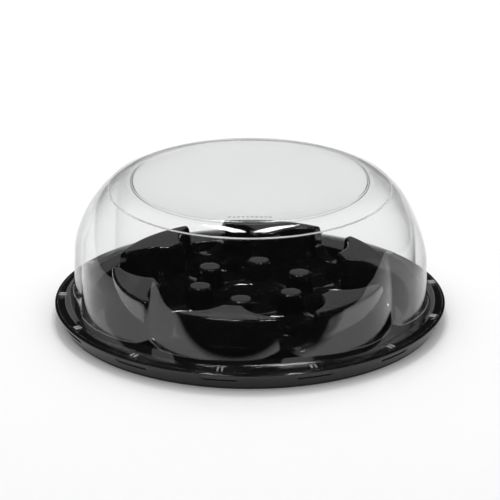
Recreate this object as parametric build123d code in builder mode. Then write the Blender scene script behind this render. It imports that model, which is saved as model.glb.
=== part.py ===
"""Round clear-domed tray with a seven-cell insert, in millimetres.

Three thermoformed sheets: a black base tray, a black cell insert that lies in it, and a clear dome
with eight petals. Each sheet is an outer body less an inner body, made by the same function.
The origin is the centre of the face that the base rests on, with +Z up and -Y to the front.
"""

from build123d import *
from math import cos, pi, sin
import os

# Driving dimensions
RIM_R = 152.4  # outer radius of the base: twelve inches across
HEIGHT = 113.2  # from the resting face to the dome's top
SHEET = 1.0  # thickness of the black base sheet
INSERT_SHEET = 0.9
DOME_SHEET = 0.8

# Base tray
FLOOR_R = 120.0  # flat floor of the recess
RECESS_TOP_R = 124.0
RIM_Z = 15.0  # flat seat of the rim, where the dome's flange rests
SEAT_R = 144.6  # outer edge of the flat seat; the rim slopes down outside it
EDGE_Z = 13.4
EDGE_LOW_Z = 11.9
SKIRT_LOW_R = 147.0  # the skirt leans in towards the foot
FOOT_Z = 2.4
FOOT_R = 145.8
SNAPS = 13
SNAP_START = -8.8  # degrees from the front, towards +X
DENT_LENGTH = 28.0
DENT_HEIGHT = 3.2
DENT_Z = 9.6
DENT_R = 149.2  # radius of the dents' flat backs

# Cell insert
CELLS_AROUND = 6
CELL_PITCH = 71.5
CELL_START = 20.1  # degrees from the front to the first outer cell
CELL_FLOOR_Z = 1.9
CELL_FLOOR_R = 21.0
CELL_MOUTH_R = 27.5
WEB_Z = 15.5
LAND_Z = 39.4
LAND_R = 107.6
LAND_FOOT_R = 113.5
LAND_SIDE_LOW_R = 29.0  # concave sides of the lands, around each outer cell
LAND_SIDE_TOP_R = 31.9
LAND_IN_LOW_R = 73.5  # concave inner ends of the lands
LAND_IN_TOP_R = 76.5
POST_Z = 30.3
POST_RING_R = CELL_PITCH / 3**0.5
POST_START = CELL_START - 30.0
POST_TOP_R = 9.2
POST_LOW_R = 12.6
NOTCH_HALF_WIDTH = 16.0
NOTCH_LOW_HALF_WIDTH = 14.0
NOTCH_Z = 12.9
NOTCH_BEND_Z = 24.5
FLANGE_R = 119.2
TOP_ROUND = 1.6
POST_ROUND = 1.2

# Dome
PETALS = 8
PETAL_START = -12.5  # degrees from the front to the first petal's middle
CREST_R = 139.2  # radius of a petal's middle at the flange
CREST_DRAFT = 1.0  # how much the wall leans in below the shoulder
SHOULDER_Z = 53.0
TOP_R = 92.5
SHOULDER_POWER_Z = 1.51
SHOULDER_POWER_R = 1.9
SHOULDER_STEPS = 12
VALLEY_DEPTH = 6.8  # how far a crease lies inside the petals' middles
FADE_TOP_Z = 102.0  # the creases fade from the shoulder up to here
FOOT_CONE_R = 137.0
FOOT_CONE_TOP_R = 131.0
FOOT_CONE_TOP_Z = 25.5
BRIM_R = 150.4  # the flange's sloping brim lies over the rim's slope
BRIM_DROP = 1.0
DISC_R = 90.6  # sunk disc inside the top's edge
DISC_DEPTH = 0.6
RIDGE_Z = 106.4  # thin ridge round the shoulder
RIDGE_SIZE = 0.5
BEADS = 10
BEAD_SIZE = 0.5
BEAD_PITCH = 3.4
BEAD_Y = -80.0
RIB_LENGTH = 5.2
RIB_WIDTH = 0.9
RIB_HEIGHT = 0.5
RIB_GAP = 3.4
RIB_R = 146.2

CUT = 5.0  # extra length on cutting bodies


def around(angle, radius):
    """The point at this radius and this angle from the front, towards +X."""
    return (radius * sin(angle * pi / 180), -radius * cos(angle * pi / 180))


CELL_CENTRES = [(0, 0)] + [
    around(CELL_START + cell * 360 / CELLS_AROUND, CELL_PITCH) for cell in range(CELLS_AROUND)
]


def crest_radius(z, inset):
    """Radius of a petal's middle at height z, on a surface lying this far inside the dome's own."""
    low_r = CREST_R - CREST_DRAFT
    if z <= SHOULDER_Z:
        return CREST_R - CREST_DRAFT * (z - RIM_Z) / (SHOULDER_Z - RIM_Z) - inset
    rise = (z - SHOULDER_Z) / (HEIGHT - inset - SHOULDER_Z)
    swing = (1 - min(rise, 1) ** SHOULDER_POWER_Z) ** (1 / SHOULDER_POWER_R)
    return TOP_R - inset + (low_r - TOP_R) * swing


def valley_radius(z, inset):
    """Radius of the crease between two petals at height z."""
    fade = min(max((FADE_TOP_Z - z) / (FADE_TOP_Z - SHOULDER_Z), 0), 1)
    depth = VALLEY_DEPTH * fade * fade * (3 - 2 * fade)
    return crest_radius(z, inset) - depth


def section_heights(inset):
    """Heights of the shoulder's sections, closer together where it turns over."""
    top_z = HEIGHT - inset
    turns = [step * pi / 2 / SHOULDER_STEPS for step in range(SHOULDER_STEPS + 1)]
    shares = [sin(turn) ** (2 / SHOULDER_POWER_Z) for turn in turns]
    return [SHOULDER_Z + (top_z - SHOULDER_Z) * share for share in shares]


def petal_loft(heights, inset):
    """The eight petals between the first and the last of these heights."""
    half = 180 / PETALS
    with BuildPart() as body:
        for z in heights:
            with BuildSketch(Plane.XY.offset(z)):
                with BuildLine():
                    for petal in range(PETALS):
                        middle = PETAL_START + petal * 2 * half
                        ThreePointArc(
                            around(middle - half, valley_radius(z, inset)),
                            around(middle, crest_radius(z, inset)),
                            around(middle + half, valley_radius(z, inset)),
                        )
                make_face()
        loft(ruled=True)
    return body.part


def petal_body(low_z, inset):
    """Eight bulging petals that run together into the round top, with a sloped facet under each crease."""
    wall = petal_loft([low_z, SHOULDER_Z], inset)
    shoulder = petal_loft(section_heights(inset), inset)
    cone_slope = (FOOT_CONE_R - FOOT_CONE_TOP_R) / (FOOT_CONE_TOP_Z - RIM_Z)
    with BuildPart() as body:
        add(wall)
        add(shoulder)
        with Locations((0, 0, low_z)):
            Cone(
                FOOT_CONE_R + (RIM_Z - low_z) * cone_slope - inset,
                FOOT_CONE_TOP_R - inset,
                FOOT_CONE_TOP_Z - low_z,
                align=(Align.CENTER, Align.CENTER, Align.MIN),
            )
    return body.part


def base_body(points, inset, dent_rise):
    """A turned body with the snap dents, this tall, pressed into its skirt."""
    with BuildPart() as body:
        with BuildSketch(Plane.XZ):
            with BuildLine():
                Polyline(*points, close=True)
            make_face()
        revolve(axis=Axis.Z)
        with BuildSketch(Plane.XY.offset(DENT_Z - DENT_HEIGHT / 2 - inset)):
            with PolarLocations(DENT_R - inset, SNAPS, start_angle=SNAP_START - 90):
                Rectangle(
                    CUT, DENT_LENGTH + 2 * inset, align=(Align.MIN, Align.CENTER)
                )
        extrude(amount=dent_rise, mode=Mode.SUBTRACT)
    return body.part


def post_body(inset):
    """One round post, with a rounded top edge on the outer shape only."""
    with BuildPart() as body:
        Cone(
            POST_LOW_R - inset,
            POST_TOP_R - inset,
            POST_Z - inset - SHEET,
            align=(Align.CENTER, Align.CENTER, Align.MIN),
        )
        if inset == 0:
            fillet(body.edges().sort_by(Axis.Z)[-1], POST_ROUND)
    return body.part


def insert_body(inset):
    """The insert's upper shape or, with an inset, the hollow under its sheet."""
    post = post_body(inset)
    top_z = LAND_Z - inset
    web_z = WEB_Z - inset
    with BuildPart() as body:
        with BuildSketch(Plane.XZ) as profile:
            with BuildLine():
                Polyline(
                    (0, SHEET),
                    (LAND_FOOT_R - inset, SHEET),
                    (LAND_R - inset, top_z),
                    (0, top_z),
                    close=True,
                )
            make_face()
            if inset == 0:
                fillet(profile.vertices().group_by(Axis.Y)[-1].sort_by(Axis.X)[-1], TOP_ROUND)
        revolve(axis=Axis.Z)
        # Above the web: the open space over the cells, then inside the lands
        with Locations(*[(x, y, web_z) for x, y in CELL_CENTRES]):
            Cone(
                LAND_SIDE_LOW_R + inset,
                LAND_SIDE_TOP_R + inset,
                LAND_Z - WEB_Z,
                align=(Align.CENTER, Align.CENTER, Align.MIN),
                mode=Mode.SUBTRACT,
            )
        with Locations((0, 0, web_z)):
            Cone(
                LAND_IN_LOW_R + inset,
                LAND_IN_TOP_R + inset,
                LAND_Z - WEB_Z,
                align=(Align.CENTER, Align.CENTER, Align.MIN),
                mode=Mode.SUBTRACT,
            )
        with Locations((0, 0, SHEET)):
            with PolarLocations(POST_RING_R, CELLS_AROUND, start_angle=POST_START - 90):
                add(post)
        # The cells themselves, down to their floors
        with Locations(*[(x, y, CELL_FLOOR_Z - inset) for x, y in CELL_CENTRES]):
            Cone(
                CELL_FLOOR_R + inset,
                CELL_MOUTH_R + inset,
                WEB_Z - CELL_FLOOR_Z,
                align=(Align.CENTER, Align.CENTER, Align.MIN),
                mode=Mode.SUBTRACT,
            )
        # A rounded notch opens each outer cell to the outside
        for x, y in CELL_CENTRES[1:]:
            with BuildSketch(Plane(origin=(x, y, 0), x_dir=(-y, x, 0), z_dir=(x, y, 0))):
                with BuildLine():
                    Polyline(
                        (-NOTCH_LOW_HALF_WIDTH - inset, NOTCH_BEND_Z),
                        (-NOTCH_HALF_WIDTH - inset, LAND_Z + CUT),
                        (NOTCH_HALF_WIDTH + inset, LAND_Z + CUT),
                        (NOTCH_LOW_HALF_WIDTH + inset, NOTCH_BEND_Z),
                    )
                    ThreePointArc(
                        (-NOTCH_LOW_HALF_WIDTH - inset, NOTCH_BEND_Z),
                        (0, NOTCH_Z - inset),
                        (NOTCH_LOW_HALF_WIDTH + inset, NOTCH_BEND_Z),
                    )
                make_face()
            extrude(amount=CUT + LAND_FOOT_R - CELL_PITCH, mode=Mode.SUBTRACT)
    return body.part


base_points = [
    (0, 0),
    (FOOT_R, 0),
    (FOOT_R, FOOT_Z),
    (SKIRT_LOW_R, FOOT_Z),
    (RIM_R, EDGE_LOW_Z),
    (RIM_R, EDGE_Z),
    (SEAT_R, RIM_Z),
    (RECESS_TOP_R, RIM_Z),
    (FLOOR_R, SHEET),
    (0, SHEET),
]
hollow_points = [
    (FLOOR_R + SHEET, 0),
    (RECESS_TOP_R + SHEET, RIM_Z - SHEET),
    (SEAT_R, RIM_Z - SHEET),
    (RIM_R - SHEET, EDGE_Z - SHEET),
    (RIM_R - SHEET, EDGE_LOW_Z),
    (SKIRT_LOW_R - SHEET, FOOT_Z + SHEET),
    (FOOT_R - SHEET, FOOT_Z + SHEET),
    (FOOT_R - SHEET, 0),
]
base_outer = base_body(base_points, 0, DENT_HEIGHT)
# Behind each dent the hollow is filled up to the rim
base_hollow = base_body(hollow_points, SHEET, DENT_HEIGHT + CUT)

with BuildPart() as base_tray:
    add(base_outer)
    add(base_hollow, mode=Mode.SUBTRACT)
base_tray.part.label = "base_tray"

insert_outer = insert_body(0)
insert_hollow = insert_body(INSERT_SHEET)

with BuildPart() as cell_insert:
    add(insert_outer)
    add(insert_hollow, mode=Mode.SUBTRACT)
    with BuildSketch(Plane.XY.offset(SHEET)):
        Circle(FLANGE_R)
    extrude(amount=INSERT_SHEET)
cell_insert.part.label = "cell_insert"

dome_outer = petal_body(RIM_Z, 0)
dome_hollow = petal_body(RIM_Z - CUT, DOME_SHEET)

with BuildPart() as dome:
    add(dome_outer)
    with BuildSketch(Plane.XZ):
        with BuildLine():
            Polyline(
                (RECESS_TOP_R, RIM_Z),
                (SEAT_R, RIM_Z),
                (BRIM_R, RIM_Z - BRIM_DROP),
                (BRIM_R, RIM_Z - BRIM_DROP + DOME_SHEET),
                (SEAT_R, RIM_Z + DOME_SHEET),
                (RECESS_TOP_R, RIM_Z + DOME_SHEET),
                close=True,
            )
        make_face()
    revolve(axis=Axis.Z)
    with BuildSketch(Plane.XY.offset(HEIGHT - DISC_DEPTH)):
        Circle(DISC_R)
    extrude(amount=CUT, mode=Mode.SUBTRACT)
    add(dome_hollow, mode=Mode.SUBTRACT)
    with BuildSketch(Plane.XY.offset(HEIGHT - DISC_DEPTH - DOME_SHEET)):
        Circle(TOP_R)
    extrude(amount=DOME_SHEET)
    with BuildSketch(Plane.XY.offset(RIM_Z)):
        for side in (-1, 1):
            turn = side * RIB_GAP / 2 / RIB_R * 180 / pi
            with PolarLocations(RIB_R, SNAPS, start_angle=SNAP_START - 90 + turn):
                Rectangle(RIB_LENGTH, RIB_WIDTH)
    extrude(amount=DOME_SHEET + RIB_HEIGHT)
    with Locations((0, 0, RIDGE_Z)):
        Torus(crest_radius(RIDGE_Z, 0), RIDGE_SIZE)
    with Locations((0, BEAD_Y, HEIGHT - DISC_DEPTH)):
        with GridLocations(BEAD_PITCH, 0, BEADS, 1):
            Sphere(BEAD_SIZE)
dome.part.label = "dome"

os.makedirs("parts", exist_ok=True)
export_step(base_tray.part, "parts/base_tray.step")
export_step(cell_insert.part, "parts/cell_insert.step")
export_step(dome.part, "parts/dome.step")
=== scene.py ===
"""The look of a clear-domed tray with a seven-cell insert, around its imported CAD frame."""

import math

import bmesh
import bpy
import numpy as np
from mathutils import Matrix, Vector


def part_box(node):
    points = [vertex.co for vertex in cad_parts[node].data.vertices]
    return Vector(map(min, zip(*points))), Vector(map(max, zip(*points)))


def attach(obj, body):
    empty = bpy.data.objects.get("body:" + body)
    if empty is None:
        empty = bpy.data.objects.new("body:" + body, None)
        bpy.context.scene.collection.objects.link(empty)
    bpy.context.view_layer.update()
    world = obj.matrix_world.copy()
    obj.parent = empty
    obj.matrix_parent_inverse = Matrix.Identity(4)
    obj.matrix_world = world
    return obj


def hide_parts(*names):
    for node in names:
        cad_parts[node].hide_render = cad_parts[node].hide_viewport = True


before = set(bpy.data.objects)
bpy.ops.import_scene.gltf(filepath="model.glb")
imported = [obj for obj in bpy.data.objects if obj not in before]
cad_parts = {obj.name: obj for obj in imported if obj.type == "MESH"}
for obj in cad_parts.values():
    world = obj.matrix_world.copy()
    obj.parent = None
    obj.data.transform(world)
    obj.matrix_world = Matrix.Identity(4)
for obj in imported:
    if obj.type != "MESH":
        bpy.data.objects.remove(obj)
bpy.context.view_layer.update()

MM = 0.001

# Sizes in millimetres, as in the CAD model, with the origin at the centre of the resting face
RIM_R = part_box("base_tray")[1].x / MM
RIM_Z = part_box("base_tray")[1].z / MM
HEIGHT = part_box("dome")[1].z / MM
BRIM_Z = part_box("dome")[0].z / MM
INSERT_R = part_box("cell_insert")[1].x / MM
LAND_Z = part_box("cell_insert")[1].z / MM
SHEET = 1.0
INSERT_SHEET = 0.9
DOME_SHEET = 0.8

FLOOR_R = 120.0
FLOOR_ROW_RADII = (0, 40, 80)
FLOOR_ROUND = 2.0
RECESS_TOP_R = 124.0
RECESS_ROUND = 1.6
SEAT_IN_R = 130.0
SEAT_R = 144.6
SEAT_ROUND = 8.0
EDGE_Z = 13.4
EDGE_LOW_Z = 11.9
EDGE_ROUND = 0.5
EDGE_UNDERCUT = 0.3
EDGE_UNDERCUT_DROP = 0.55
EDGE_SINK = 0.2
SKIRT_LOW_R = 147.0
FOOT_Z = 2.4
FOOT_R = 145.8
FOOT_BEND = 0.4
SMALL_ROUND = 0.3
SNAPS = 13
SNAP_START = -8.8
DENT_LENGTH = 28.0
DENT_HEIGHT = 3.2
DENT_Z = 9.6
DENT_R = 149.2
DENT_END_FADE = 1.2
DENT_EDGE_FADE = 0.4
DENT_BACK_GROWTH = 0.6
SKIRT_ROWS = 26
INNER_SKIRT_ROWS = 20
BASE_TURN_STEP = 0.5

CELLS_AROUND = 6
CELL_PITCH = 71.5
CELL_START = 20.1
CELL_FLOOR_Z = 1.9
CELL_FLOOR_R = 21.0
CELL_MOUTH_R = 27.5
WEB_Z = 15.5
LAND_R = 107.6
LAND_FOOT_R = 113.5
LAND_SIDE_LOW_R = 29.0
LAND_SIDE_TOP_R = 31.9
LAND_IN_LOW_R = 73.5
LAND_IN_TOP_R = 76.5
POST_Z = 30.3
POST_TOP_R = 9.2
POST_LOW_R = 10.9
NOTCH_HALF_WIDTH = 16.0
NOTCH_LOW_HALF_WIDTH = 14.0
NOTCH_Z = 12.9
NOTCH_BEND_Z = 24.5
NOTCH_TOP_Z = LAND_Z + 5
NO_NOTCH_Z = LAND_Z + 20
OUTSIDE_LOW_Z = CELL_FLOOR_Z - 3
LOWEST_Z = CELL_FLOOR_Z - 0.25

# Widths over which the insert's surfaces blend into each other
CUP_BLEND = 7.0
SIDE_BLEND = 2.4
LAND_BLEND = 2.6
POST_BLEND = 3.5
LAND_FOOT_BLEND = 1.4
POST_FOOT_BLEND = 1.8
NOTCH_BLEND = 3.0
FLOOR_BLEND = 0.9

# The insert's mesh: a grid whose outermost points are pulled onto the edge
GRID = 0.6
EDGE_BAND = GRID * 1.2
EDGE_INSET = 0.01
KEPT_SHARE = 0.22
SLOPE_STEP = 0.15

PETALS = 8
PETAL_START = -12.5
CREST_R = 139.2
CREST_DRAFT = 1.0
SHOULDER_Z = 53.0
TOP_R = 92.5
SHOULDER_POWER_Z = 1.51
SHOULDER_POWER_R = 1.9
VALLEY_DEPTH = 6.8
FADE_TOP_Z = 102.0
CREASE_ROUND = 0.5
FOOT_CONE_R = 137.0
FOOT_CONE_TOP_R = 131.0
FOOT_CONE_TOP_Z = 25.5
CONE_ROW_MARGIN = 1.5
FOOT_ROUND = 3.2
BRIM_R = 150.4
BRIM_EDGE = 0.3
FLANGE_IN = 2.0
RING_Z = 106.4
RING_SIZE = 0.6
RING_SPREAD = 0.3
RING_TURNS = 360
RING_ROLLS = 10
TOP_LIP = 0.6
TOP_LIP_WIDTH = 1.1
DISC_R = 90.6
DISC_LIP = 0.6
DISC_DEPTH = 0.6
DISC_ROW_RADII = (60, 40, 20, 6, 0)
PETAL_COLUMNS = 44
CREASE_CROWDING = 0.24
FOOT_ROWS = 7
CONE_ROWS = 16
WALL_ROWS = 8
SHOULDER_ROWS = 36
BEADS = 10
BEAD_PITCH = 3.4
BEAD_Y = -80.0
BEAD_SIZE = (2.2, 1.5, 0.5)
BEAD_POWER = 2.5
RIB_LENGTH = 6.4
RIB_WIDTH = 0.9
RIB_HEIGHT = 0.6
RIB_GAP = 3.4
RIB_R = 146.6
RIB_SINK = 0.1
RIB_POWER = 4.0

# Looks: the darker and lighter colour and the least and most roughness of each black sheet
BASE_BLACKS = (0.0035, 0.0035, 0.004), (0.006, 0.006, 0.0065)
BASE_ROUGHNESS = (0.03, 0.08)
INSERT_BLACKS = (0.003, 0.003, 0.0035), (0.005, 0.005, 0.0055)
INSERT_ROUGHNESS = (0.02, 0.06)

# The studio, in metres. The panel's sizes are sines of its height and half width as the tray sees them
ROOM_LIGHT = 0.84
PANEL_LIGHT = 0.42
PANEL_TOP = 0.47
PANEL_TOP_FADE = 0.03
PANEL_SIDE = 0.105
PANEL_SIDE_FADE = 0.02
PANEL_FRONT_FADE = 0.1
DARK_STUDIO = 0.012
FLOOR_HALF = 6.0
FLOOR_GAP = 0.0002
FLOOR_DARK_FROM_Y = -0.185
FLOOR_DARK_TO_Y = -0.2
LAMP_X = 0.148
LAMP_Y = 0.633
LAMP_Z = 1.462
LAMP_SIZE = (0.13, 0.58)
LAMP_POWER = 4.3
LAMP_AIM = Vector((0, 0, 0.03))
CAMERA_PLACE = (0, -2.695, 1.113)
CAMERA_TILT = 90 - 21.445
CAMERA_LENS = 267.8
CAMERA_SENSOR = 36.0


# Shapes

def smooth_max(a, b, width):
    """The larger of two values, rounded over where they cross."""
    return (a + b + np.sqrt((a - b) ** 2 + width * width)) / 2


def smooth_min(a, b, width):
    return -smooth_max(-a, -b, width)


def smooth_step(x):
    x = np.clip(x, 0, 1)
    return x * x * (3 - 2 * x)


def around(angle, radius):
    """The x and y at this radius and this angle in degrees from the front, towards +X."""
    turn = np.radians(angle)
    return radius * np.sin(turn), -radius * np.cos(turn)


def rounded(corners, steps=5):
    """A profile through (radius, height, rounding) corners, each rounded by an arc."""
    points = []
    for i, (r, z, size) in enumerate(corners):
        here = np.array((r, z))
        if size == 0:
            points.append(here)
            continue
        to_last = np.array(corners[i - 1][:2]) - here
        to_next = np.array(corners[i + 1][:2]) - here
        to_last /= np.linalg.norm(to_last)
        to_next /= np.linalg.norm(to_next)
        half = math.acos(np.clip(to_last @ to_next, -1, 1)) / 2
        inward = (to_last + to_next) / np.linalg.norm(to_last + to_next)
        centre = here + inward * size / math.sin(half)
        start = here + to_last * size / math.tan(half) - centre
        end = here + to_next * size / math.tan(half) - centre
        for step in range(steps + 1):
            share = step / steps
            spoke = start * (1 - share) + end * share
            points.append(centre + spoke / np.linalg.norm(spoke) * size)
    return points


def new_piece(name, vertices, faces, body, material):
    """A smooth mesh piece from millimetre vertices, riding on a CAD body."""
    mesh = bpy.data.meshes.new(name)
    mesh.from_pydata((np.asarray(vertices) * MM).tolist(), [], faces)
    work = bmesh.new()
    work.from_mesh(mesh)
    bmesh.ops.recalc_face_normals(work, faces=work.faces)
    work.to_mesh(mesh)
    work.free()
    mesh.shade_smooth()
    mesh.materials.append(material)
    piece = bpy.data.objects.new(name, mesh)
    bpy.context.scene.collection.objects.link(piece)
    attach(piece, body)
    return piece


def turned(angles, columns):
    """Vertices and faces of a closed skin: one profile for each angle, ends drawn together on the axis."""
    columns = np.asarray(columns)
    turns = np.radians(angles)[:, None]
    r, z = columns[:, 1:-1, 0], columns[:, 1:-1, 1]
    ring = np.stack((r * np.sin(turns), -r * np.cos(turns), z), axis=-1)
    count, steps = r.shape
    vertices = ring.reshape(-1, 3).tolist()
    vertices += [(0, 0, columns[0, 0, 1]), (0, 0, columns[0, -1, 1])]
    first, last = count * steps, count * steps + 1
    faces = []
    for i in range(count):
        here, there = i * steps, (i + 1) % count * steps
        faces.append((first, here, there))
        faces.append((last, there + steps - 1, here + steps - 1))
        faces += [(here + k, here + k + 1, there + k + 1, there + k) for k in range(steps - 1)]
    return vertices, faces


# Dome

def crest_radius(z, inset):
    """Radius of a petal's middle at height z, on a surface lying this far inside the dome's own."""
    top_z = HEIGHT - TOP_LIP - inset
    low_r = CREST_R - CREST_DRAFT
    rise = np.clip((z - SHOULDER_Z) / (top_z - SHOULDER_Z), 0, 1)
    swing = (1 - rise ** SHOULDER_POWER_Z) ** (1 / SHOULDER_POWER_R)
    shoulder = TOP_R - inset + (low_r - TOP_R) * swing
    wall = CREST_R - CREST_DRAFT * (z - RIM_Z) / (SHOULDER_Z - RIM_Z) - inset
    return np.where(z > SHOULDER_Z, shoulder, wall)


def petal_radius(angle, z, inset):
    """Radius of the petals' surface: arcs that meet in rounded creases."""
    half = math.pi / PETALS
    half_degrees = 180 / PETALS
    crest = crest_radius(z, inset)
    fade = smooth_step((FADE_TOP_Z - z) / (FADE_TOP_Z - SHOULDER_Z))
    valley = crest - VALLEY_DEPTH * fade
    offset = (crest ** 2 - valley ** 2) / (2 * (crest - valley * math.cos(half)))
    size = crest - offset

    def arc(turn):
        return offset * np.cos(turn) + np.sqrt(size ** 2 - (offset * np.sin(turn)) ** 2)

    turn = np.radians((angle - PETAL_START + half_degrees) % (2 * half_degrees) - half_degrees)
    return smooth_max(arc(np.abs(turn)), arc(2 * half - np.abs(turn)), CREASE_ROUND)


def wall_radius(angle, z, inset):
    """The petals, with a sloped facet at the foot of each crease."""
    slope = (FOOT_CONE_R - FOOT_CONE_TOP_R) / (FOOT_CONE_TOP_Z - RIM_Z)
    cone = FOOT_CONE_R - inset - slope * (z - RIM_Z)
    return smooth_max(petal_radius(angle, z, inset), cone, CREASE_ROUND)


def dome_side(angle, inset):
    """One surface of the dome as (radius, height) points, from the lip's foot to the middle of the top."""
    flange_z = RIM_Z + DOME_SHEET - inset
    brim_z = BRIM_Z + DOME_SHEET - inset
    if inset > 0:
        edge = [(BRIM_R - BRIM_EDGE, brim_z, 0)]
    else:
        edge = [(BRIM_R, BRIM_Z, 0), (BRIM_R, brim_z, BRIM_EDGE)]
    brim = rounded(edge + [(SEAT_R, flange_z, SEAT_ROUND), (SEAT_R - FLANGE_IN, flange_z, 0)])[:-1]
    foot = []
    for turn in np.linspace(0, math.pi / 2, FOOT_ROWS):
        z = flange_z + inset + FOOT_ROUND - (FOOT_ROUND + inset) * math.cos(turn)
        r = wall_radius(angle, z, 0) + FOOT_ROUND - (FOOT_ROUND + inset) * math.sin(turn)
        foot.append((float(r), z))
    low_z = foot[-1][1]
    bend_z = FOOT_CONE_TOP_Z + CONE_ROW_MARGIN
    heights = list(np.linspace(low_z, bend_z, CONE_ROWS)[1:])
    heights += list(np.linspace(bend_z, SHOULDER_Z, WALL_ROWS)[1:])
    top_z = HEIGHT - TOP_LIP - inset
    for turn in np.linspace(0, math.pi / 2, SHOULDER_ROWS)[1:]:
        heights.append(SHOULDER_Z + (top_z - SHOULDER_Z) * math.sin(turn) ** (2 / SHOULDER_POWER_Z))
    wall = [(float(wall_radius(angle, np.float64(z), inset)), z) for z in heights]
    disc_z = HEIGHT - DISC_DEPTH - inset
    rim_z = HEIGHT - inset
    top = rounded([
        (TOP_R - inset, top_z, 0), (TOP_R - TOP_LIP_WIDTH - inset, rim_z, EDGE_ROUND),
        (DISC_R + DISC_LIP, rim_z, SMALL_ROUND), (DISC_R, disc_z, SMALL_ROUND),
        (DISC_ROW_RADII[0], disc_z, 0)], 3)[1:]
    top += [(r, disc_z) for r in DISC_ROW_RADII[1:]]
    return [tuple(p) for p in brim + foot + wall + top]


def dome_angles():
    """Angles round the dome, closer together at the creases."""
    steps = np.linspace(-1, 1, PETAL_COLUMNS, endpoint=False)
    half = 180 / PETALS
    one = half * (steps + CREASE_CROWDING * np.sin(math.pi * steps))
    return np.concatenate([PETAL_START + 2 * half * petal + one for petal in range(PETALS)])


def make_dome(material):
    angles = dome_angles()
    columns = [dome_side(a, 0.0)[::-1] + dome_side(a, DOME_SHEET) for a in angles]
    vertices, faces = turned(angles, columns)
    dome = new_piece("clear_dome", vertices, faces, "lid", material)
    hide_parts("dome")


def rounded_bars(places, size, power):
    """Vertices and faces of small rounded bars at (x, y, z, turn) places.

    A higher power makes their plan squarer."""
    around_steps, up_steps = 16, 6
    vertices, faces = [], []

    def bend(value):
        return math.copysign(abs(value) ** (2 / power), value)

    for x, y, z, turn in places:
        start = len(vertices)
        for i in range(1, up_steps):
            up = -math.pi / 2 + math.pi * i / up_steps
            for k in range(around_steps):
                side = 2 * math.pi * k / around_steps
                a = size[0] / 2 * math.cos(up) * bend(math.cos(side))
                b = size[1] / 2 * math.cos(up) * bend(math.sin(side))
                vertices.append((x + a * math.cos(turn) - b * math.sin(turn),
                                 y + a * math.sin(turn) + b * math.cos(turn),
                                 z + size[2] * math.sin(up)))
        low, high = len(vertices), len(vertices) + 1
        vertices += [(x, y, z - size[2]), (x, y, z + size[2])]
        for k in range(around_steps):
            after = (k + 1) % around_steps
            faces.append((low, start + after, start + k))
            last = start + (up_steps - 2) * around_steps
            faces.append((high, last + k, last + after))
            for i in range(up_steps - 2):
                row = start + i * around_steps
                faces.append((row + k, row + after, row + around_steps + after, row + around_steps + k))
    return vertices, faces


def make_dome_trim(material):
    """Pairs of snap ribs on the flange, plain beads on the top and a thin ridge round the shoulder."""
    places = []
    for snap in range(SNAPS):
        for side in (-1, 1):
            angle = SNAP_START + snap * 360 / SNAPS + side * math.degrees(RIB_GAP / 2 / RIB_R)
            x, y = around(angle, RIB_R)
            places.append((x, y, RIM_Z + DOME_SHEET - RIB_SINK, math.radians(angle - 90)))
    vertices, faces = rounded_bars(places, (RIB_LENGTH, RIB_WIDTH, RIB_HEIGHT), RIB_POWER)
    ribs = new_piece("snap_ribs", vertices, faces, "lid", material)
    top_z = HEIGHT - DISC_DEPTH
    places = [((i - (BEADS - 1) / 2) * BEAD_PITCH, BEAD_Y, top_z, 0.0) for i in range(BEADS)]
    vertices, faces = rounded_bars(places, BEAD_SIZE, BEAD_POWER)
    beads = new_piece("top_beads", vertices, faces, "lid", material)
    ring_r = float(crest_radius(np.float64(RING_Z), 0)) - DOME_SHEET / 2
    vertices, faces = [], []
    for i in range(RING_TURNS):
        for k in range(RING_ROLLS):
            roll = 2 * math.pi * k / RING_ROLLS
            x, y = around(360 * i / RING_TURNS, ring_r + (RING_SIZE + RING_SPREAD) * math.cos(roll))
            vertices.append((x, y, RING_Z + RING_SIZE * math.sin(roll)))
            here, there = i * RING_ROLLS, (i + 1) % RING_TURNS * RING_ROLLS
            after = (k + 1) % RING_ROLLS
            faces.append((here + k, there + k, there + after, here + after))
    ring = new_piece("shoulder_ridge", vertices, faces, "lid", material)


# Base tray

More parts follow.
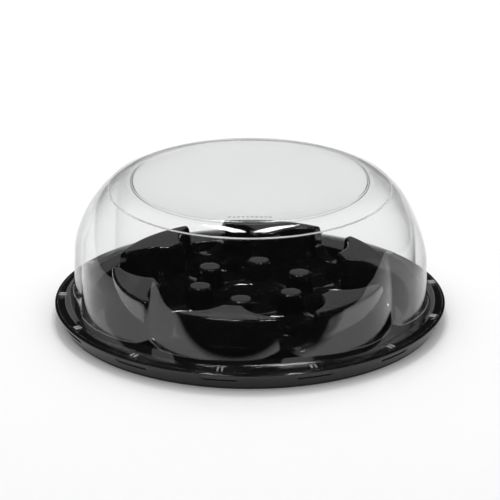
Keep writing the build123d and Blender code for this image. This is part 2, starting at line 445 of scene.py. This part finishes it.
def base_column(angle):
    """The base's whole section at one angle, from the floor's top round to its underside."""
    snap = (angle - SNAP_START + 180 / SNAPS) % (360 / SNAPS) - 180 / SNAPS
    along = abs(math.radians(snap)) * RIM_R

    def dent(points, grow, back_r):
        """The points, drawn in to the dent's back where it is. It is larger by grow on every side."""
        half_length = DENT_LENGTH / 2 + DENT_END_FADE / 3 + grow
        half_height = DENT_HEIGHT / 2 + DENT_EDGE_FADE / 2 + grow
        bent = []
        for r, z in points:
            ends = smooth_step((half_length - along) / DENT_END_FADE)
            edge = smooth_step((half_height - abs(z - DENT_Z)) / DENT_EDGE_FADE)
            bent.append((r - max(r - back_r, 0) * float(ends * edge), z))
        return bent

    def straight(start, end, steps):
        share = np.linspace(0, 1, steps)
        return [(start[0] + (end[0] - start[0]) * s, start[1] + (end[1] - start[1]) * s) for s in share]

    top = rounded([(r, SHEET, 0) for r in FLOOR_ROW_RADII] + [
        (FLOOR_R, SHEET, FLOOR_ROUND), (RECESS_TOP_R, RIM_Z, RECESS_ROUND), (SEAT_IN_R, RIM_Z, 0),
        (SEAT_R, RIM_Z, SEAT_ROUND), (RIM_R, EDGE_Z, EDGE_ROUND), (RIM_R, EDGE_LOW_Z, SMALL_ROUND),
        (RIM_R - EDGE_UNDERCUT, EDGE_LOW_Z - EDGE_UNDERCUT_DROP, 0)])
    slope = (RIM_R - SKIRT_LOW_R) / (EDGE_LOW_Z - FOOT_Z)
    skirt_end = (SKIRT_LOW_R + slope * FOOT_BEND, FOOT_Z + FOOT_BEND)
    skirt = dent(straight(top[-1], skirt_end, SKIRT_ROWS)[1:], 0, DENT_R)
    foot = rounded([
        skirt[-1] + (0,), (SKIRT_LOW_R, FOOT_Z, FOOT_BEND / 2), (FOOT_R, FOOT_Z, SMALL_ROUND),
        (FOOT_R, 0, SHEET / 4), (FOOT_R - SHEET, 0, SHEET / 4),
        (FOOT_R - SHEET, FOOT_Z + SHEET, SMALL_ROUND), (SKIRT_LOW_R - SHEET, FOOT_Z + SHEET, 0)], 3)[1:]
    inner_r = RIM_R - SHEET
    inner = straight(foot[-1], (inner_r, EDGE_LOW_Z), INNER_SKIRT_ROWS)[1:]
    inner = dent(inner, DENT_BACK_GROWTH, DENT_R - SHEET)
    under = rounded([
        (inner_r, EDGE_Z - SHEET - EDGE_SINK, 0), (SEAT_R, RIM_Z - SHEET, SEAT_ROUND / 2),
        (RECESS_TOP_R + SHEET, RIM_Z - SHEET, RECESS_ROUND - SHEET), (FLOOR_R + SHEET, 0, FLOOR_ROUND / 2),
    ] + [(r, 0, 0) for r in reversed(FLOOR_ROW_RADII)])
    return [tuple(p) for p in top + skirt + foot + inner + under]


def make_base(material):
    angles = np.arange(0, 360, BASE_TURN_STEP)
    vertices, faces = turned(angles, [base_column(a) for a in angles])
    base = new_piece("black_base", vertices, faces, "base", material)
    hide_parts("base_tray")


# Cell insert

def insert_height(x, y):
    """Height of the insert's upper surface over the plan."""
    r = np.hypot(x, y)
    turn = 360 / CELLS_AROUND
    cells = [(0.0, 0.0)] + [around(CELL_START + turn * k, CELL_PITCH) for k in range(CELLS_AROUND)]
    posts = [around(CELL_START + turn * (k + 0.5), CELL_PITCH / math.sqrt(3)) for k in range(CELLS_AROUND)]
    to_cell = np.min([np.hypot(x - cx, y - cy) for cx, cy in cells], axis=0)
    to_post = np.min([np.hypot(x - px, y - py) for px, py in posts], axis=0)

    cup_slope = (WEB_Z - CELL_FLOOR_Z) / (CELL_MOUTH_R - CELL_FLOOR_R)
    cup = smooth_min(CELL_FLOOR_Z + (to_cell - CELL_FLOOR_R) * cup_slope, WEB_Z + 0 * r, CUP_BLEND)
    side_slope = (LAND_Z - WEB_Z) / (LAND_SIDE_TOP_R - LAND_SIDE_LOW_R)
    side = WEB_Z + (to_cell - LAND_SIDE_LOW_R) * side_slope
    outside = LAND_Z + (LAND_R - r) * (LAND_Z - SHEET) / (LAND_FOOT_R - LAND_R)
    tall = smooth_min(LAND_Z + 0 * r, smooth_min(side, outside, SIDE_BLEND), LAND_BLEND)
    in_slope = (LAND_Z - WEB_Z) / (LAND_IN_TOP_R - LAND_IN_LOW_R)
    land = smooth_min(tall, WEB_Z + (r - LAND_IN_LOW_R) * in_slope, LAND_BLEND)
    post_slope = (POST_Z - WEB_Z) / (POST_LOW_R - POST_TOP_R)
    post = smooth_min(POST_Z + 0 * r, POST_Z - (to_post - POST_TOP_R) * post_slope, POST_BLEND)
    height = smooth_max(smooth_max(cup, land, LAND_FOOT_BLEND), post, POST_FOOT_BLEND)

    notch = np.full_like(r, NO_NOTCH_Z)
    bowl_depth = NOTCH_BEND_Z - NOTCH_Z
    bow = (NOTCH_LOW_HALF_WIDTH ** 2 + bowl_depth ** 2) / (2 * bowl_depth)
    steep = (NOTCH_TOP_Z - NOTCH_BEND_Z) / (NOTCH_HALF_WIDTH - NOTCH_LOW_HALF_WIDTH)
    for cx, cy in cells[1:]:
        out_x, out_y = cx / CELL_PITCH, cy / CELL_PITCH
        along, across = x * out_x + y * out_y, np.abs(y * out_x - x * out_y)
        inner = np.minimum(across, NOTCH_LOW_HALF_WIDTH)
        bowl = NOTCH_Z + bow - np.sqrt(np.maximum(bow ** 2 - inner ** 2, 0))
        here = bowl + np.maximum(across - NOTCH_LOW_HALF_WIDTH, 0) * steep
        notch = np.where((along > CELL_PITCH) & (here < notch), here, notch)
    height = smooth_min(height, notch, NOTCH_BLEND)
    height = smooth_min(height, np.maximum(outside, OUTSIDE_LOW_Z), LAND_BLEND)
    return smooth_max(height, LOWEST_Z + 0 * r, FLOOR_BLEND)


def make_insert(material):
    steps = int(INSERT_R / GRID) + 1
    line = np.arange(-steps, steps + 1) * GRID
    x, y = np.meshgrid(line, line, indexing="ij")
    r = np.hypot(x, y)
    kept = r < INSERT_R
    edge = kept & (r > INSERT_R - EDGE_BAND)
    pull = np.where(edge, (INSERT_R - EDGE_INSET) / np.maximum(r, 1), 1)
    number = np.full(x.shape, -1)
    number[kept] = np.arange(kept.sum())
    vertices = np.stack((x * pull, y * pull, insert_height(x, y)), axis=-1)[kept]
    a, b = number[:-1, :-1], number[1:, :-1]
    c, d = number[1:, 1:], number[:-1, 1:]
    quads = np.stack((a, b, c, d), axis=-1).reshape(-1, 4)
    whole = (quads >= 0).all(axis=1)
    corners = (quads >= 0).sum(axis=1) == 3
    faces = quads[whole].tolist() + [[v for v in q if v >= 0] for q in quads[corners].tolist()]

    # The upper surface, thinned out where it is flat
    full = bpy.data.meshes.new("insert_full")
    full.from_pydata(vertices.tolist(), [], faces)
    carrier = bpy.data.objects.new("insert_full", full)
    bpy.context.scene.collection.objects.link(carrier)
    carrier.modifiers.new("fewer_faces", "DECIMATE").ratio = KEPT_SHARE
    thin = bpy.data.meshes.new_from_object(carrier.evaluated_get(bpy.context.evaluated_depsgraph_get()))
    bpy.data.objects.remove(carrier)
    bpy.data.meshes.remove(full)
    top = np.array([v.co[:] for v in thin.vertices])
    faces = [list(p.vertices) for p in thin.polygons]
    bpy.data.meshes.remove(thin)

    # Normals come from the height itself, so that the gloss runs smoothly over the faces
    px, py, step = top[:, 0], top[:, 1], SLOPE_STEP
    slope_x = (insert_height(px + step, py) - insert_height(px - step, py)) / (2 * step)
    slope_y = (insert_height(px, py + step) - insert_height(px, py - step)) / (2 * step)
    normal = np.stack((-slope_x, -slope_y, np.ones_like(slope_x)), axis=-1)
    normal /= np.linalg.norm(normal, axis=1)[:, None]
    low = top - normal * INSERT_SHEET
    low[:, 2] = np.maximum(low[:, 2], SHEET)
    reach = np.hypot(low[:, 0], low[:, 1])
    low[:, :2] *= np.minimum(1, INSERT_R / np.maximum(reach, 1))[:, None]
    count = len(top)
    sides = dict.fromkeys(side for face in faces for side in zip(face, face[1:] + face[:1]))
    rim = [(here, there) for here, there in sides if (there, here) not in sides]
    faces += [[v + count for v in reversed(face)] for face in faces]
    faces += [[there, here, here + count, there + count] for here, there in rim]
    insert = new_piece("black_insert", np.concatenate((top, low)), faces, "insert", material)
    insert.data.normals_split_custom_set_from_vertices(np.concatenate((normal, -normal)).tolist())
    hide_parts("cell_insert")


# Materials

def node_material(name):
    material = bpy.data.materials.new(name)
    material.use_nodes = True
    tree = material.node_tree
    return material, tree, tree.nodes["Principled BSDF"]


def ramp(tree, value, start, end, low=0.0, high=1.0):
    """A value's way from start to end, as one from low to high, held at both ends."""
    node = tree.nodes.new("ShaderNodeMapRange")
    node.inputs["From Min"].default_value = start
    node.inputs["From Max"].default_value = end
    node.inputs["To Min"].default_value = low
    node.inputs["To Max"].default_value = high
    tree.links.new(value, node.inputs["Value"])
    return node.outputs["Result"]


def times(tree, first, second):
    node = tree.nodes.new("ShaderNodeMath")
    node.operation = "MULTIPLY"
    tree.links.new(first, node.inputs[0])
    tree.links.new(second, node.inputs[1])
    return node.outputs["Value"]


def to_power(tree, value, power):
    node = tree.nodes.new("ShaderNodeMath")
    node.operation = "POWER"
    node.inputs[1].default_value = power
    tree.links.new(value, node.inputs[0])
    return node.outputs["Value"]


def colour_mix(tree, share, first, second):
    node = tree.nodes.new("ShaderNodeMix")
    node.data_type = "RGBA"
    node.inputs["A"].default_value = (*first, 1)
    node.inputs["B"].default_value = (*second, 1)
    tree.links.new(share, node.inputs["Factor"])
    return node.outputs["Result"]


def shader_mix(tree, share, first, second):
    node = tree.nodes.new("ShaderNodeMixShader")
    tree.links.new(share, node.inputs["Fac"])
    tree.links.new(first, node.inputs[1])
    tree.links.new(second, node.inputs[2])
    return node.outputs["Shader"]


def ray_is(tree, kind):
    """Whether the ray that sees this is of one kind, such as Glossy or Shadow."""
    return tree.nodes.new("ShaderNodeLightPath").outputs[f"Is {kind} Ray"]


def surface(tree, shader):
    tree.links.new(shader, tree.nodes["Material Output"].inputs["Surface"])


def noise_at(tree, scale, detail):
    """Noise over the object's own space."""
    place = tree.nodes.new("ShaderNodeTexCoord")
    noise = tree.nodes.new("ShaderNodeTexNoise")
    noise.inputs["Scale"].default_value = scale
    noise.inputs["Detail"].default_value = detail
    tree.links.new(place.outputs["Object"], noise.inputs["Vector"])
    return noise.outputs["Fac"]


def cloudy(tree, scale, detail, low, high):
    """Noise spread from low to high, without its rare ends."""
    return ramp(tree, noise_at(tree, scale, detail), 0.3, 0.7, low, high)


def bumped(tree, layers):
    """One bump on another: (noise scale, detail, strength, distance in metres) layers."""
    normal = None
    for scale, detail, strength, distance in layers:
        bump = tree.nodes.new("ShaderNodeBump")
        bump.inputs["Strength"].default_value = strength
        bump.inputs["Distance"].default_value = distance
        tree.links.new(noise_at(tree, scale, detail), bump.inputs["Height"])
        if normal is not None:
            tree.links.new(normal, bump.inputs["Normal"])
        normal = bump.outputs["Normal"]
    return normal


def black_sheet(name, dark, light, rough):
    """Black polystyrene sheet: deep gloss, a faint orange peel and slow waves from forming."""
    material, tree, shader = node_material(name)
    tint = colour_mix(tree, cloudy(tree, 38, 4, 0, 1), dark, light)
    tree.links.new(tint, shader.inputs["Base Color"])
    tree.links.new(cloudy(tree, 55, 5, *rough), shader.inputs["Roughness"])
    shader.inputs["IOR"].default_value = 1.55
    waves, peel = (35, 2, 0.12, 0.0004), (900, 3, 0.03, 0.0001)
    tree.links.new(bumped(tree, [waves, peel]), shader.inputs["Normal"])
    return material


def clear_sheet(name):
    """Clear sheet: see-through, with slow waves and a mirror skin that strengthens at grazing angles."""
    material, tree, mirror = node_material(name)
    mirror.inputs["Base Color"].default_value = (1, 1, 1, 1)
    mirror.inputs["Metallic"].default_value = 1.0
    tree.links.new(cloudy(tree, 30, 3, 0.015, 0.05), mirror.inputs["Roughness"])
    tree.links.new(bumped(tree, [(18, 2, 0.12, 0.0005)]), mirror.inputs["Normal"])
    layer = tree.nodes.new("ShaderNodeLayerWeight")
    layer.inputs["Blend"].default_value = 0.5
    facing = layer.outputs["Facing"]
    through = tree.nodes.new("ShaderNodeBsdfTransparent")
    tint = colour_mix(tree, to_power(tree, facing, 8.0), (0.995, 0.996, 0.997), (0.4, 0.41, 0.42))
    tree.links.new(tint, through.inputs["Color"])
    share = ramp(tree, to_power(tree, facing, 5.0), 0.0, 1.0, 0.04, 1.0)
    surface(tree, shader_mix(tree, share, through.outputs["BSDF"], mirror.outputs["BSDF"]))
    return material


def clear_ridge(name):
    """Thick clear plastic of the ribs, ridge and beads: it bends the light and lets lamps through."""
    material, tree, shader = node_material(name)
    shader.inputs["Base Color"].default_value = (0.97, 0.975, 0.98, 1)
    shader.inputs["Transmission Weight"].default_value = 0.7
    shader.inputs["IOR"].default_value = 1.5
    tree.links.new(cloudy(tree, 90, 3, 0.02, 0.12), shader.inputs["Roughness"])
    tree.links.new(bumped(tree, [(220, 2, 0.2, 0.0002)]), shader.inputs["Normal"])
    through = tree.nodes.new("ShaderNodeBsdfTransparent")
    through.inputs["Color"].default_value = (0.9, 0.9, 0.9, 1)
    surface(tree, shader_mix(tree, ray_is(tree, "Shadow"), shader.outputs["BSDF"], through.outputs["BSDF"]))
    return material


# Studio

def make_floor():
    """A pale floor whose part in front of the tray is dark to reflections, like a table's edge."""
    material, tree, paper = node_material("floor_paper")
    paper.inputs["Base Color"].default_value = (0.93, 0.93, 0.93, 1)
    paper.inputs["Roughness"].default_value = 0.7
    place = tree.nodes.new("ShaderNodeNewGeometry")
    split = tree.nodes.new("ShaderNodeSeparateXYZ")
    tree.links.new(place.outputs["Position"], split.inputs["Vector"])
    front = ramp(tree, split.outputs["Y"], FLOOR_DARK_FROM_Y, FLOOR_DARK_TO_Y)
    dark = tree.nodes.new("ShaderNodeEmission")
    dark.inputs["Color"].default_value = (0.01, 0.01, 0.011, 1)
    share = times(tree, front, ray_is(tree, "Glossy"))
    surface(tree, shader_mix(tree, share, paper.outputs["BSDF"], dark.outputs["Emission"]))
    mesh = bpy.data.meshes.new("floor")
    corners = [(-1, -1), (1, -1), (1, 1), (-1, 1)]
    mesh.from_pydata([(FLOOR_HALF * x, FLOOR_HALF * y, 0) for x, y in corners], [], [(0, 1, 2, 3)])
    mesh.materials.append(material)
    floor = bpy.data.objects.new("floor", mesh)
    floor.location.z = -FLOOR_GAP
    bpy.context.scene.collection.objects.link(floor)


def make_world():
    """A white room. Reflections see a dark studio with one grey backdrop panel behind the tray."""
    world = bpy.data.worlds.new("white_room")
    bpy.context.scene.world = world
    world.use_nodes = True
    tree = world.node_tree
    room = tree.nodes["Background"]
    room.inputs["Color"].default_value = (1, 1, 1, 1)
    room.inputs["Strength"].default_value = ROOM_LIGHT
    place = tree.nodes.new("ShaderNodeTexCoord")
    split = tree.nodes.new("ShaderNodeSeparateXYZ")
    tree.links.new(place.outputs["Generated"], split.inputs["Vector"])
    beside = tree.nodes.new("ShaderNodeMath")
    beside.operation = "ABSOLUTE"
    tree.links.new(split.outputs["X"], beside.inputs[0])
    low = ramp(tree, split.outputs["Z"], PANEL_TOP + PANEL_TOP_FADE, PANEL_TOP)
    near = ramp(tree, beside.outputs["Value"], PANEL_SIDE + PANEL_SIDE_FADE, PANEL_SIDE)
    behind = ramp(tree, split.outputs["Y"], 0.0, PANEL_FRONT_FADE)
    panel = times(tree, times(tree, low, near), behind)
    studio = tree.nodes.new("ShaderNodeBackground")
    tree.links.new(ramp(tree, panel, 0.0, 1.0, DARK_STUDIO, PANEL_LIGHT), studio.inputs["Strength"])
    seen = shader_mix(tree, ray_is(tree, "Glossy"), room.outputs["Background"], studio.outputs["Background"])
    tree.links.new(seen, tree.nodes["World Output"].inputs["Surface"])


def make_lamp(name, x):
    """A soft box behind and above the tray that looks at it."""
    light = bpy.data.lights.new(name, "AREA")
    light.shape = "RECTANGLE"
    light.size, light.size_y = LAMP_SIZE
    light.energy = LAMP_POWER
    lamp = bpy.data.objects.new(name, light)
    lamp.location = (x, LAMP_Y, LAMP_Z)
    lamp.rotation_euler = (LAMP_AIM - lamp.location).to_track_quat("-Z", "Y").to_euler()
    bpy.context.scene.collection.objects.link(lamp)


def make_camera():
    """Looks down on the front from far off."""
    camera = bpy.data.cameras.new("camera")
    camera.sensor_width = CAMERA_SENSOR
    camera.lens = CAMERA_LENS
    eye = bpy.data.objects.new("camera", camera)
    eye.location = CAMERA_PLACE
    eye.rotation_euler = (math.radians(CAMERA_TILT), 0, 0)
    bpy.context.scene.collection.objects.link(eye)
    bpy.context.scene.camera = eye


make_camera()
make_floor()
make_world()
make_lamp("soft_box_left", -LAMP_X)
make_lamp("soft_box_right", LAMP_X)
bpy.context.scene.view_settings.view_transform = "Standard"

make_base(black_sheet("black_base_plastic", *BASE_BLACKS, BASE_ROUGHNESS))
make_insert(black_sheet("black_insert_plastic", *INSERT_BLACKS, INSERT_ROUGHNESS))
make_dome(clear_sheet("clear_plastic"))
make_dome_trim(clear_ridge("clear_ridge_plastic"))
